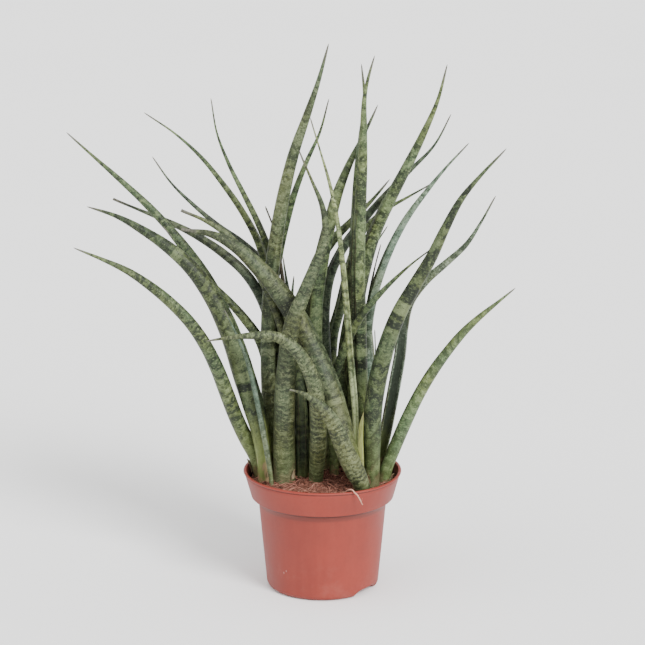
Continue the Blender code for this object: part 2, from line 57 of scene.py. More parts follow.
# Pot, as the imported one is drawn
POT_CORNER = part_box("pot")[1]
POT_HEIGHT = POT_CORNER.z
RIM_RADIUS = POT_CORNER.x
WALL = 1.4 * MM
SHOULDER_HEIGHT = 8 * MM
SHOULDER_STEP = 6 * MM
BAND_FOOT = POT_HEIGHT - 20 * MM
BODY_TOP = BAND_FOOT - SHOULDER_HEIGHT
BAND_TOP_RADIUS = RIM_RADIUS - 0.9 * MM
BAND_FOOT_RADIUS = BAND_TOP_RADIUS - 5 * MM
BODY_TOP_RADIUS = BAND_FOOT_RADIUS - SHOULDER_STEP
FOOT_RADIUS = 42.5 * MM
FOOT_FILLET = 4.5 * MM
RECESS_INNER = 23 * MM
RECESS_OUTER = 34 * MM
RECESS_DEPTH = 3 * MM
FLOOR_TOP = RECESS_DEPTH + WALL
NOTCH_DEGREES = (-35.0, 145.0)
NOTCH_HALF_WIDTH = 13.5 * MM
NOTCH_HEIGHT = 3.6 * MM
NOTCH_REACH = 11 * MM  # the wall is pushed up over this height to make room for a notch
DRAIN_HOLES = 6
DRAIN_RADIUS = 3.2 * MM
POT_SEGMENTS = 224
LIP_ROLL = 0.82 * MM
# Moulded plastic is never quite round or level, and its thin rim least of all: how far the rim is drawn in,
# its two sways, and how far it dips.
RIM_DRAWN = 0.30 * MM
RIM_SWAYS = (0.22 * MM, 0.14 * MM)
RIM_DIP = 0.20 * MM
ON_AXIS = 0.002 * MM  # points of a turned shape this close together are one point

# Coir
SOIL_LEVEL = POT_HEIGHT - 9 * MM
SOIL_MOUND = 3 * MM
WALL_GAP = 0.5 * MM  # between the coir and the pot, below its top
TOP_GAP = 0.4 * MM
FLOOR_GAP = 0.3 * MM
SOIL_SEGMENTS = 150
SOIL_RINGS = 62
FIBRES = 1500
CHIPS = 420

# Leaves
SECTION_SIDES = 8  # of a packed leaf ring
PACKED_WELD = 0.005 * MM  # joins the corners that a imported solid's triangles share
TIP_HALF = 0.12 * MM
RING_STEP = 2.4 * MM
CHANNEL_POINTS = 14
ROUND_POINTS = 22
CHANNEL_FADE = (0.38, 0.76)  # shares of the length where the channel fades out
MARGIN_WIDTH = 0.055  # radians round the section

# Stage, light and camera
FLOOR_REACH = 7.0
FLOOR_POINTS = 24
FLOOR_DROP = 0.2 * MM
AMBIENT = 1.25
# name, strength, softness in degrees, and how it is turned
LAMPS = (("key", 4.8, 24, (54, 4, 33)), ("fill", 0.8, 60, (40, 0, -62)))
SENSOR_MM = 36.0
LENS_MM = 152.26
CAMERA_PLACE = (0, -1.96, 0.73)
CAMERA_AIM = (0, 0, 0.205)


# ---------------- meshes


def piece(name, points, faces, surface, replaced=(), values=None, stage=False):
    """A mesh object that rides on the plant, with per-point values that its material reads."""
    mesh = bpy.data.meshes.new(name)
    mesh.from_pydata([tuple(map(float, p)) for p in points], [], faces)
    for key, numbers in (values or {}).items():
        numbers = np.asarray(numbers, np.float32)
        kind, field = ("FLOAT_VECTOR", "vector") if numbers.ndim == 2 else ("FLOAT", "value")
        mesh.attributes.new(key, kind, "POINT").data.foreach_set(field, numbers.ravel())
    shaper = bmesh.new()
    shaper.from_mesh(mesh)
    bmesh.ops.recalc_face_normals(shaper, faces=shaper.faces)
    shaper.to_mesh(mesh)
    shaper.free()
    mesh.shade_smooth()
    mesh.materials.append(surface)
    made = bpy.data.objects.new(name, mesh)
    bpy.context.scene.collection.objects.link(made)
    if stage:
        return made
    if replaced:
        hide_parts(*replaced)
    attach(made, BODY)
    return made


def weld(mesh, gap):
    """Joins the points that lie closer together than the gap, and turns the faces outwards."""
    shaper = bmesh.new()
    shaper.from_mesh(mesh)
    bmesh.ops.remove_doubles(shaper, verts=shaper.verts, dist=gap)
    bmesh.ops.recalc_face_normals(shaper, faces=shaper.faces)
    shaper.to_mesh(mesh)
    shaper.free()


def packed_shell(name):
    """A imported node's mesh with its corners joined. The caller frees it."""
    shell = bmesh.new()
    shell.from_mesh(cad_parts[name].data)
    bmesh.ops.remove_doubles(shell, verts=shell.verts, dist=PACKED_WELD)
    return shell


class Shell:
    """Points, faces and per-point values gathered for one mesh."""

    def __init__(self):
        self.points, self.faces, self.values = [], [], {}

    def add(self, points, faces, **values):
        start = len(self.points)
        self.points.extend(points)
        self.faces.extend(tuple(start + k for k in face) for face in faces)
        for key, numbers in values.items():
            self.values.setdefault(key, []).extend(numbers)


def unit(vectors):
    return vectors / np.maximum(np.linalg.norm(vectors, axis=-1, keepdims=True), 1e-12)


def grid_faces(rings, around, closed=True):
    faces = []
    for ring in range(rings - 1):
        for k in range(around if closed else around - 1):
            a, b = ring * around + k, ring * around + (k + 1) % around
            faces.append((a, b, b + around, a + around))
    return faces


def strand(spine, radii, sides):
    """A closed thin tube along a spine, pointed at both ends."""
    spine = np.asarray(spine, float)
    ahead = unit(np.gradient(spine, axis=0))
    across = unit(np.cross(ahead, [0.31, 0.17, 0.93]))
    up = np.cross(across, ahead)
    turn = 2 * np.pi * np.arange(sides) / sides
    circle = across[:, None] * np.cos(turn)[None, :, None] + up[:, None] * np.sin(turn)[None, :, None]
    points = (spine[:, None] + circle * np.asarray(radii)[:, None, None]).reshape(-1, 3)
    faces = grid_faces(len(spine), sides)
    faces += [tuple(range(sides))[::-1], tuple(range(len(points) - sides, len(points)))]
    return points, faces


def slopes(knots, values, limited):
    """Slope at each knot. Limited slopes keep the curve between its knots from overshooting."""
    steps = np.diff(knots)[:, None]
    rise = np.diff(values, axis=0) / steps
    left, right = rise[:-1], rise[1:]
    before, after = steps[:-1], steps[1:]
    inner = (left * after + right * before) / (before + after)
    if limited:
        same = left * right > 0
        harmonic = 2 * left * right / np.where(same, left + right, 1)
        inner = np.where(same, harmonic, 0)
    return np.vstack([rise[:1], inner, rise[-1:]])


def smooth(knots, values, wanted, limited=False):
    """Cubic curve through the values at the knots, read at the wanted places."""
    values = np.asarray(values, float)
    flat = values.reshape(len(knots), -1)
    slope = slopes(knots, flat, limited)
    at = np.clip(np.searchsorted(knots, wanted, side="right") - 1, 0, len(knots) - 2)
    width = (knots[at + 1] - knots[at])[:, None]
    t = (wanted - knots[at])[:, None] / width
    start, end = flat[at], flat[at + 1]
    made = (
        (2 * t**3 - 3 * t**2 + 1) * start
        + (t**3 - 2 * t**2 + t) * width * slope[at]
        + (3 * t**2 - 2 * t**3) * end
        + (t**3 - t**2) * width * slope[at + 1]
    )
    return made.reshape(len(wanted), *values.shape[1:])


def fade(values, low, high):
    t = np.clip((np.asarray(values, float) - low) / (high - low), 0, 1)
    return t * t * (3 - 2 * t)


# ---------------- node materials


class Surface:
    """A node material put together from small calls, each of which returns a socket."""

    def __init__(self, name, roughness=0.5, specular=0.5):
        self.made = bpy.data.materials.new(name)
        self.made.use_nodes = True
        self.tree = self.made.node_tree
        self.shader = self.tree.nodes["Principled BSDF"]
        self.shader.inputs["Roughness"].default_value = roughness
        self.shader.inputs["Specular IOR Level"].default_value = specular

    def put(self, socket, value):
        if isinstance(value, bpy.types.NodeSocket):
            self.tree.links.new(value, socket)
        elif isinstance(value, tuple) and len(value) == 3 and socket.type == "RGBA":
            socket.default_value = (*value, 1)
        else:
            socket.default_value = value

    def node(self, kind, inputs, **settings):
        made = self.tree.nodes.new(kind)
        for key, value in settings.items():
            setattr(made, key, value)
        for key, value in inputs.items():
            self.put(made.inputs[key], value)
        return made

    def value(self, name, field="Fac"):
        return self.node("ShaderNodeAttribute", {}, attribute_name=name).outputs[field]

    def math(self, operation, a, b=0.0, clamp=False):
        return self.node("ShaderNodeMath", {0: a, 1: b}, operation=operation, use_clamp=clamp).outputs[0]

    def stretch(self, vector, factors, shift=(0, 0, 0)):
        scaled = self.node("ShaderNodeVectorMath", {0: vector, 1: factors}, operation="MULTIPLY").outputs[0]
        return self.node("ShaderNodeVectorMath", {0: scaled, 1: shift}, operation="ADD").outputs[0]

    def noise(self, vector, scale=1.0, detail=2.0, rough=0.5):
        inputs = {"Vector": vector, "Scale": scale, "Detail": detail, "Roughness": rough}
        return self.node("ShaderNodeTexNoise", inputs).outputs["Fac"]

    def cells(self, vector, scale):
        return self.node("ShaderNodeTexVoronoi", {"Vector": vector, "Scale": scale}).outputs["Distance"]

    def remap(self, value, low, high, to_low=0.0, to_high=1.0):
        inputs = {"Value": value, "From Min": low, "From Max": high, "To Min": to_low, "To Max": to_high}
        return self.node("ShaderNodeMapRange", inputs, interpolation_type="SMOOTHSTEP").outputs[0]

    def mix(self, share, a, b, blend="MIX"):
        made = self.node("ShaderNodeMix", {}, data_type="RGBA", blend_type=blend)
        for socket, value in ((made.inputs[0], share), (made.inputs[6], a), (made.inputs[7], b)):
            self.put(socket, value)
        return made.outputs[2]

    def bump(self, height, strength, distance, under=None):
        inputs = {"Height": height, "Strength": strength, "Distance": distance}
        if under is not None:
            inputs["Normal"] = under
        return self.node("ShaderNodeBump", inputs).outputs["Normal"]

    def finish(self, colour, roughness=None, normal=None):
        self.put(self.shader.inputs["Base Color"], colour)
        if roughness is not None:
            self.put(self.shader.inputs["Roughness"], roughness)
        if normal is not None:
            self.put(self.shader.inputs["Normal"], normal)
        return self.made


# Leaf colours: middle, dark band, pale fleck
TONES = {
    "leaf_green": ((0.048, 0.068, 0.026), (0.0075, 0.0125, 0.005), (0.20, 0.245, 0.115)),
    "leaf_olive": ((0.049, 0.061, 0.0255), (0.010, 0.0135, 0.006), (0.20, 0.225, 0.115)),
    # leaf_dark: partly the leaves' own darker green, partly painted shade for leaves lying in shade within
    # the plant
    "leaf_dark": ((0.032, 0.044, 0.023), (0.006, 0.010, 0.005), (0.135, 0.165, 0.10)),
    "leaf_blue_green": ((0.098, 0.134, 0.082), (0.018, 0.031, 0.015), (0.32, 0.385, 0.285)),
    "leaf_dry": ((0.070, 0.060, 0.042), (0.020, 0.015, 0.011), (0.17, 0.15, 0.11)),
}
# Leaves whose colours stand apart from their slot's. leaf_mid_dark's very dark tones are partly its own green
# and partly painted shade deep in the plant.
OWN_TONES = {
    "leaf_mid_pale": ((0.105, 0.140, 0.060), (0.028, 0.040, 0.016), (0.40, 0.45, 0.24)),
    "leaf_tall": ((0.052, 0.068, 0.030), (0.0095, 0.0135, 0.006), (0.22, 0.255, 0.14)),
    "leaf_right_low": ((0.082, 0.119, 0.042), (0.022, 0.036, 0.013), (0.28, 0.34, 0.175)),
    "leaf_right_open": ((0.062, 0.083, 0.046), (0.013, 0.021, 0.010), (0.34, 0.40, 0.30)),
    "leaf_mid_dark": ((0.026, 0.038, 0.017), (0.005, 0.008, 0.004), (0.075, 0.105, 0.052)),
    # Partly the leaf's own green, partly painted light that lifts it where it lies in shade
    "leaf_right_inner": ((0.070, 0.145, 0.036), (0.015, 0.034, 0.010), (0.18, 0.28, 0.10)),
}
MARGIN = (0.034, 0.018, 0.011)
DRY_TIP = (0.120, 0.116, 0.088)
BASE_GREEN = (0.200, 0.245, 0.062)
BASE_PINK = (0.34, 0.20, 0.13)

# Per leaf: band spacing in mm, how strong the bands are, how strong the pale scurf is, how yellow
# the foot is, and how light the whole leaf is: partly its own tone, partly painted light for leaves in shade
LOOKS = {
    "leaf_left_low": (8, 0.85, 0.7, 0.25, 1.10),
    "leaf_left_big": (11, 0.85, 0.65, 0.65, 0.82),
    "leaf_left_high": (8, 0.85, 0.7, 0.3, 1.0),
    "leaf_left_mid": (8, 0.85, 0.6, 0.3, 1.0),
    "leaf_left_dark": (9, 0.8, 0.6, 0.3, 1.0),
    "leaf_left_thin": (7, 0.8, 0.6, 0.2, 1.1),
    "leaf_left_spear": (6, 0.8, 0.5, 0.2, 1.1),
    "leaf_left_teal": (9, 0.5, 0.5, 0.2, 0.75),
    "leaf_left_upright": (7, 0.85, 0.6, 0.2, 1.1),
    "leaf_left_slant": (8, 0.85, 0.7, 0.2, 1.1),
    "leaf_left_dry": (7, 0.5, 0.5, 0.0, 0.8),
    "leaf_front_big": (8, 0.68, 0.65, 0.35, 1.02),
    "leaf_tall": (8, 0.7, 0.65, 0.25, 1.18),
    "leaf_front_bent": (4.4, 0.68, 0.7, 0.1, 1.0),
    "leaf_front_arch": (3.8, 0.8, 0.7, 0.1, 1.16),
    "leaf_front_short": (3.8, 0.8, 0.7, 0.1, 1.06),
    "leaf_front_inner": (8, 0.7, 0.35, 0.2, 0.85),
    "leaf_mid_dark": (9, 0.6, 0.3, 0.2, 0.9),
    "leaf_mid_behind_tall": (8, 0.8, 0.6, 0.2, 1.3),
    "leaf_mid_pale": (8, 0.95, 0.6, 0.9, 1.1),
    "leaf_mid_upright": (9, 0.85, 0.6, 0.2, 1.08),
    "leaf_right_tall": (11, 0.85, 0.7, 1.0, 1.35),
    "leaf_right_tall_behind": (10, 0.75, 0.6, 0.2, 1.2),
    "leaf_mid_oblique": (7, 0.8, 0.6, 0.2, 1.05),
    "leaf_mid_slant": (9, 0.8, 0.6, 0.2, 1.0),
    "leaf_right_big": (13, 0.95, 0.65, 0.15, 0.84),
    "leaf_right_low": (8.5, 0.72, 0.6, 0.2, 0.96),
    "leaf_right_open": (12, 0.7, 0.7, 0.3, 1.0),
    "leaf_right_blue": (13, 0.8, 0.7, 0.3, 1.0),
    "leaf_right_high": (9, 0.85, 0.7, 0.2, 1.4),
    "leaf_right_far": (8, 0.7, 0.6, 0.2, 1.25),
    "leaf_right_back": (8, 0.8, 0.6, 0.2, 1.1),
    "leaf_right_inner": (9, 0.6, 0.3, 0.2, 1.0),
    "leaf_right_dry": (7, 0.5, 0.5, 0.0, 0.8),
    "leaf_right_small": (7, 0.5, 0.4, 0.2, 1.0),
    "leaf_back_left": (9, 0.9, 0.6, 0.4, 1.05),
    "leaf_back_mid": (11, 0.9, 0.6, 0.4, 1.0),
    "leaf_back_right": (7, 0.85, 0.55, 0.4, 1.1),
    "leaf_back_short": (6, 0.85, 0.55, 0.4, 1.1),
}
# Broad bands that stand out: share of the length, half width as a share, and +1 for pale or -1 for dark
ACCENTS = {
    "leaf_mid_pale": [(0.20, 0.14, 1)],
    "leaf_right_tall": [(0.318, 0.011, 1), (0.290, 0.014, -1), (0.350, 0.016, -1)],
    "leaf_tall": [(0.300, 0.008, 1), (0.325, 0.005, 1)],
    "leaf_right_big": [(0.560, 0.018, -1), (0.470, 0.012, -1), (0.515, 0.020, 1)],
    "leaf_left_big": [(0.330, 0.016, 1), (0.300, 0.012, -1), (0.72, 0.014, 1)],
    "leaf_front_big": [(0.295, 0.010, 1), (0.60, 0.02, -1)],
}
# Channel: where its margins stand on the section in degrees, its depth, and how much painted shade darkens it
# inside
CHANNELS = {
    "leaf_front_bent": (74, 0.04, 0.0),
    "leaf_front_arch": (70, 0.16, 0.15),
    "leaf_front_big": (72, 0.08, 0.0),
    "leaf_front_short": (70, 0.12, 0.1),
    "leaf_left_big": (70, 0.14, 0.05),
    "leaf_tall": (68, 0.18, 0.2),
    "leaf_mid_pale": (62, 0.45, 0.2),
    "leaf_right_open": (40, 0.88, 0.95),
    "leaf_right_blue": (50, 0.70, 0.7),
    "leaf_right_tall": (56, 0.60, 0.7),
    "leaf_right_low": (54, 0.55, 0.4),
}
PLAIN_CHANNEL = (60, 0.45, 0.4)
# Blunt tips: the radius of the rounded end in mm
BLUNT = {"leaf_left_dark": 1.0, "leaf_left_spear": 1.2, "leaf_front_big": 1.2, "leaf_front_short": 0.7}
STOUT = {"leaf_left_dry": 1.6}  # how much thicker the dried-up leaf has stayed at its curled tip


def leaf_material(name, tones, look, accents, channel_shade):
    """Cross bands with ragged edges, pale scurf, fine lengthwise streaks, brown margins and a dry tip.

    The attribute `straight` is the place on the leaf as if it were straightened, in mm: along it, and
    across it both ways. `share` runs from 0 at the foot to 1 at the tip."""
    # The last look scales all tones: partly the leaf's own tone, partly painted light that lifts leaves lying
    # in shade
    middle, dark, pale = (tuple(part * look[4] for part in tone) for tone in tones)
    spacing, banding, scurf, foot = look[:4]
    made = Surface(name, specular=0.28)
    straight = made.value("straight", "Vector")
    share = made.value("share")

    # Bands: a wave along the leaf, read at a place that wanders, so that they are uneven with ragged edges.
    wander = made.noise(made.stretch(straight, (0.045, 0.08, 0.08)), detail=2)
    ragged = made.noise(made.stretch(straight, (0.42, 0.62, 0.62), (7, 3, 1)), detail=4, rough=0.68)
    drifting = made.math("MULTIPLY", wander, 3.2 * spacing)
    shift = made.math("ADD", drifting, made.math("MULTIPLY", ragged, 0.45 * spacing + 1.6))
    shifts = made.node("ShaderNodeCombineXYZ", {"X": shift}).outputs[0]
    bent = made.node("ShaderNodeVectorMath", {0: straight, 1: shifts}, operation="ADD").outputs[0]
    along = made.node("ShaderNodeSeparateXYZ", {0: bent}).outputs["X"]
    wave = made.math("SINE", made.math("MULTIPLY", along, 2 * math.pi / spacing))
    level = made.noise(made.stretch(bent, (0.55 / spacing, 0.03, 0.03), (11, 5, 2)), detail=2, rough=0.6)
    level = made.math("MULTIPLY", made.math("SUBTRACT", level, 0.5), 3.4)
    blotchy = made.noise(made.stretch(straight, (0.20, 0.26, 0.26), (12, 4, 9)), detail=3, rough=0.65)
    rough = made.math("ADD", made.math("SUBTRACT", ragged, 0.5), made.math("SUBTRACT", blotchy, 0.5))
    both = made.math("ADD", made.math("MULTIPLY", wave, 0.40), level)
    both = made.math("ADD", both, made.math("MULTIPLY", rough, 1.7))
    band = made.math("MULTIPLY", made.remap(both, -0.08, 0.50), banding)
    light = made.remap(both, -0.15, -0.65)
    for place, half, sign in accents:
        uneven = made.math("ADD", share, made.math("MULTIPLY", ragged, 0.008))
        away = made.math("ABSOLUTE", made.math("SUBTRACT", uneven, place + 0.004))
        spot = made.remap(away, 0.7 * half, half, 1.0, 0.0)
        if sign > 0:
            light = made.math("MAXIMUM", light, made.math("MULTIPLY", spot, 2.0))
            band = made.math("MULTIPLY", band, made.math("SUBTRACT", 1.0, spot))
        else:
            band = made.math("MAXIMUM", band, spot)
    gap = made.math("SUBTRACT", 1.0, band)

    # The green between the bands drifts from leaf foot to tip.
    drift = made.noise(made.stretch(straight, (0.022, 0.05, 0.05), (3, 1, 4)), detail=1)
    warm = tuple(part * factor for part, factor in zip(middle, (1.20, 1.08, 0.84)))
    cool = tuple(part * factor for part, factor in zip(middle, (0.82, 0.95, 1.06)))
    colour = made.mix(made.remap(drift, 0.35, 0.65), cool, warm)
    colour = made.mix(made.math("MULTIPLY", light, 0.30 * banding, clamp=True), colour, pale)
    colour = made.mix(band, colour, dark)

    # Pale scurf in short cross dashes, thickest between the bands, and small specks everywhere.
    dashes = made.noise(made.stretch(bent, (0.50, 0.17, 0.17), (2, 9, 6)), detail=5, rough=0.72)
    patches = made.noise(made.stretch(straight, (0.035, 0.05, 0.05), (8, 2, 5)), detail=1)
    scale = made.math("MULTIPLY", made.remap(dashes, 0.48, 0.66), made.remap(patches, 0.38, 0.62, 0.35, 1.0))
    scale = made.math("MULTIPLY", scale, made.math("ADD", made.math("MULTIPLY", gap, 0.75), 0.25))
    colour = made.mix(made.math("MULTIPLY", scale, scurf), colour, pale)
    specks = made.noise(made.stretch(straight, (0.95, 0.42, 0.42), (5, 5, 5)), detail=3, rough=0.7)
    pits = made.noise(made.stretch(straight, (0.72, 0.32, 0.32), (9, 2, 7)), detail=3, rough=0.7)
    colour = made.mix(made.remap(specks, 0.54, 0.64, 0.0, 0.62 * scurf), colour, pale)
    colour = made.mix(made.remap(pits, 0.53, 0.66, 0.0, 0.72), colour, dark)

    # Fine lines: across the leaf within the bands, and lengthwise along its ribs.
    fine = made.noise(made.stretch(bent, (1.1, 0.12, 0.12), (1, 1, 9)), detail=2)
    lines = made.noise(made.stretch(straight, (0.02, 0.9, 0.9), (4, 4, 4)), detail=2)
    shade = made.math("ADD", made.remap(fine, 0.3, 0.7, 0.78, 1.10), made.remap(lines, 0.3, 0.7, -0.08, 0.10))
    grey = made.node("ShaderNodeCombineColor", {"Red": shade, "Green": shade, "Blue": shade}).outputs[0]
    colour = made.mix(1.0, colour, grey, "MULTIPLY")

    # Painted shade: inside the channel the colour is darkened towards a deep green.
    deep = tuple(0.7 * part for part in dark)
    colour = made.mix(made.math("MULTIPLY", made.value("inside"), channel_shade), colour, deep)

    # The foot turns yellow-green and then pinkish where it goes into the coir.
    blotch = made.noise(made.stretch(straight, (0.09, 0.22, 0.22), (6, 6, 1)), detail=2)
    low = made.math("ADD", share, made.remap(blotch, 0.3, 0.7, -0.03, 0.03))
    colour = made.mix(made.remap(low, 0.08, 0.24, foot, 0.0), colour, BASE_GREEN)
    colour = made.mix(made.remap(low, 0.045, 0.075, foot, 0.0), colour, BASE_PINK)

    # Thin brown margins, broken here and there, and the dry tip.
    broken = made.noise(made.stretch(straight, (0.10, 0.1, 0.1), (2, 2, 8)), detail=2)
    edge = made.math("MULTIPLY", made.value("margin"), made.remap(broken, 0.35, 0.6, 0.15, 0.9))
    colour = made.mix(edge, colour, MARGIN)
    crisp = made.math("ADD", share, made.remap(ragged, 0.3, 0.7, -0.012, 0.012))
    dry = made.mix(made.remap(specks, 0.4, 0.6), tuple(0.6 * part for part in DRY_TIP), DRY_TIP)
    colour = made.mix(made.remap(crisp, 0.94, 0.985), colour, dry)

    height = made.math("ADD", made.math("MULTIPLY", lines, 0.6), made.math("MULTIPLY", fine, 0.25))
    height = made.math("ADD", height, made.math("MULTIPLY", scale, 0.35))
    roughness = made.math("ADD", made.remap(dashes, 0.3, 0.7, 0.52, 0.72), made.math("MULTIPLY", band, -0.06))
    return made.finish(colour, roughness, made.bump(height, 0.7, 0.4 * MM))


# ---------------- leaves


def spread(start):
    """Layers of vertices by how many edges they are from the starting ones."""
    seen, layers = set(start), [list(start)]
    while True:
        layer = []
        for vertex in layers[-1]:
            for edge in vertex.link_edges:
                other = edge.other_vert(vertex)
                if other not in seen:
                    seen.add(other)
                    layer.append(other)
        if not layer:
            return layers
        layers.append(layer)


def packed_rings(name):
    """A packed leaf's rings from foot to tip, their points in order round the leaf, and its tip."""
    shell = packed_shell(name)
    for tip in (v for v in shell.verts if len(v.link_edges) == SECTION_SIDES):
        layers = spread([tip])
        if all(len(layer) == SECTION_SIDES for layer in layers[1:]):
            break
    else:
        raise RuntimeError(f"{name} has no tip whose rings all have {SECTION_SIDES} points")
    rings = [np.array([v.co for v in layer], float) for layer in layers[:0:-1]]
    end = np.array(tip.co, float)
    shell.free()
    centres = np.array([*(ring.mean(0) for ring in rings), end])
    ahead = unit(np.gradient(centres, axis=0))
    before = None
    for k, ring in enumerate(rings):
        arms = ring - ring.mean(0)
        side = unit(arms[0] - ahead[k] * (arms[0] @ ahead[k]))
        turn = np.arctan2(arms @ np.cross(ahead[k], side), arms @ side)
        ring = ring[np.argsort(turn)]
        if before is not None:
            arms, old = unit(ring - ring.mean(0)), unit(before - before.mean(0))
            fits = [(np.roll(arms, -shift, axis=0) * old).sum() for shift in range(SECTION_SIDES)]
            ring = np.roll(ring, -int(np.argmax(fits)), axis=0)
        rings[k] = before = ring
    return np.array(rings), end


class Leaf:
    """A packed leaf read back as a spine with a width, a thickness and the way its channel faces."""

    def __init__(self, name):
        self.name = name
        rings, end = packed_rings(name)
        quarter = SECTION_SIDES // 4
        # The channel's bottom is the point that lies nearest the middle of the lower rings.
        near = np.linalg.norm(rings - rings.mean(1, keepdims=True), axis=2)[1:4].sum(0)
        deepest = int(np.argmin(near))
        left, right, back = (rings[:, (deepest + quarter * step) % SECTION_SIDES] for step in (-1, 1, 2))
        centre = (left + right) / 2
        half = np.linalg.norm(left - right, axis=1) / 2
        deep = np.linalg.norm(centre - back, axis=1)
        across, out = unit(left - right), unit(centre - back)
        centre = np.vstack([centre, end])
        self.knots = np.concatenate([[0], np.cumsum(np.linalg.norm(np.diff(centre, axis=0), axis=1))])
        self.length = self.knots[-1]
        self.centre = centre
        self.across, self.out = np.vstack([across, across[-1:]]), np.vstack([out, out[-1:]])
        self.half, self.deep = np.append(half, TIP_HALF), np.append(deep, TIP_HALF)
        self.seed = sum(ord(letter) * (k + 3) for k, letter in enumerate(name)) % 997

    def at(self, share):
        """Centre, across and out directions, half width and half thickness at shares of the length."""
        wanted = np.asarray(share, float) * self.length
        centre = smooth(self.knots, self.centre, wanted)
        across = unit(smooth(self.knots, self.across, wanted))
        out = unit(smooth(self.knots, self.out, wanted))
        half = smooth(self.knots, self.half[:, None], wanted, limited=True)[:, 0]
        deep = smooth(self.knots, self.deep[:, None], wanted, limited=True)[:, 0]
        return centre, across, out, half, deep

    def uneven(self, along, scale, strength):
        """Slow noise along the leaf, from -strength to strength."""
        return np.array([noise.noise(Vector((s / scale, self.seed, 0.5))) for s in along]) * strength


def section_angles(edge):
    """Angles round the section, closer together in the channel, whose middle is at a quarter turn."""
    low, high = edge, math.pi - edge
    channel = np.linspace(low, high, CHANNEL_POINTS + 1)
    rest = np.linspace(high, low + 2 * math.pi, ROUND_POINTS + 1)
    return np.concatenate([channel[:-1], rest[:-1]])


def leaf_mesh(leaf, edge_degrees, depth):
    stand_at = math.radians(edge_degrees)
    count = max(40, int(leaf.length / RING_STEP))
    share = np.linspace(0, 1, count)
    share = share + 0.06 * np.sin(np.pi * share) * share  # a little closer together at the tip
    if leaf.name in BLUNT:
        rounding = np.array([0.8, 0.5, 0.25, 0.08, 0])
        share = np.append(share[:-1], 1 - BLUNT[leaf.name] * MM / leaf.length * rounding)
        share.sort()
    centre, across, out, half, deep = leaf.at(share)
    along = share * leaf.length
    swell = 1 + leaf.uneven(along, 26 * MM, 0.035) + leaf.uneven(along + 1, 9 * MM, 0.012)
    half, deep = half * swell, deep * swell
    if leaf.name in BLUNT:
        radius = BLUNT[leaf.name] * MM
        end = np.clip((leaf.length - along) / radius, 0, 1)
        floor = radius * np.sqrt(1 - (1 - end) ** 2) * fade(share, 0.6, 0.94)
        half, deep = np.maximum(half, floor), np.maximum(deep, floor)
    stout = 1 + (STOUT.get(leaf.name, 1) - 1) * fade(share, 0.3, 0.7)
    half, deep = half * stout, deep * stout
    channel = 1 - fade(share, *CHANNEL_FADE)
    angles = section_angles(stand_at)
    sine, cosine = np.sin(angles), np.cos(angles)
    edge = math.sin(stand_at)
    # The channel drops quickly inside its margins and has a rounded bottom.
    inside = np.clip((sine - edge) / (1 - edge), 0, 1)
    drop = depth * inside**0.62
    ribs = 1 + 0.012 * np.cos(9 * angles[None] + leaf.seed + 0.8 * np.sin(along[:, None] / (60 * MM)))
    stand = np.exp(-(((np.abs(angles - math.pi / 2) - (math.pi / 2 - stand_at)) / MARGIN_WIDTH) ** 2))
    lip = 1 + 0.05 * min(1.0, 2 * depth) * stand[None] * channel[:, None]
    u = half[:, None] * cosine[None] * ribs * lip
    v = deep[:, None] * (sine[None] * ribs * lip - drop[None] * channel[:, None])
    points = centre[:, None] + across[:, None] * u[..., None] + out[:, None] * v[..., None]
    points = points.reshape(-1, 3)
    around = len(angles)
    faces = grid_faces(count, around)
    faces += [tuple(range(around))[::-1], tuple(range(len(points) - around, len(points)))]
    ones = np.ones(around)
    straight = np.stack([along[:, None] * ones, u, v], axis=-1) / MM + leaf.seed * 1.7
    margin = stand[None] * fade(channel, 0.02, 0.4)[:, None] * min(1.0, 1.6 * depth)
    # The channel's inside, where the material paints shade
    hollow = (fade(inside, 0.15, 0.7)[None] * channel[:, None]).ravel()
    values = {
        "straight": straight.reshape(-1, 3),
        "share": (share[:, None] * ones).ravel(),
        "margin": margin.ravel(),
        "inside": hollow,
    }
    return points, faces, values


def make_leaf(name):
    leaf = Leaf(name)
    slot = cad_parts[name].data.materials[0].name.split(".")[0]
    edge, depth, channel_shade = CHANNELS.get(name, PLAIN_CHANNEL)
    tones = OWN_TONES.get(name, TONES[slot])
    surface = leaf_material(name + "_skin", tones, LOOKS[name], ACCENTS.get(name, ()), channel_shade)
    points, faces, values = leaf_mesh(leaf, edge, depth)
    piece(name + "_looks", points, faces, surface, (name,), values)
    return leaf


# ---------------- papery sheaths at the leaf feet

# leaf, share where it starts and ends, bearing that it faces and its spread, in degrees
SHEATHS = [
    ("leaf_right_tall", 0.03, 0.185, 290, 210),
    ("leaf_front_bent", 0.045, 0.076, 318, 34),
    ("leaf_tall", 0.045, 0.110, 215, 34),
    ("leaf_left_big", 0.045, 0.078, 312, 44),
    ("leaf_right_big", 0.04, 0.066, 250, 30),
    ("leaf_right_low", 0.05, 0.088, 330, 44),
    ("leaf_left_low", 0.05, 0.095, 160, 70),
    ("leaf_back_mid", 0.06, 0.15, 110, 90),
    ("leaf_back_left", 0.06, 0.14, 60, 80),
    ("leaf_back_right", 0.07, 0.16, 120, 90),
    ("leaf_right_back", 0.045, 0.10, 80, 80),
    ("leaf_left_high", 0.045, 0.10, 170, 80),
]
GREEN_SHEATH = "leaf_right_tall"
SHEATH_THICK = 0.22 * MM
SHEATH_CLEAR = 0.25 * MM  # smallest gap between a sheath and its leaf
SHEATH_ROWS = 22
SHEATH_COLUMNS = 15


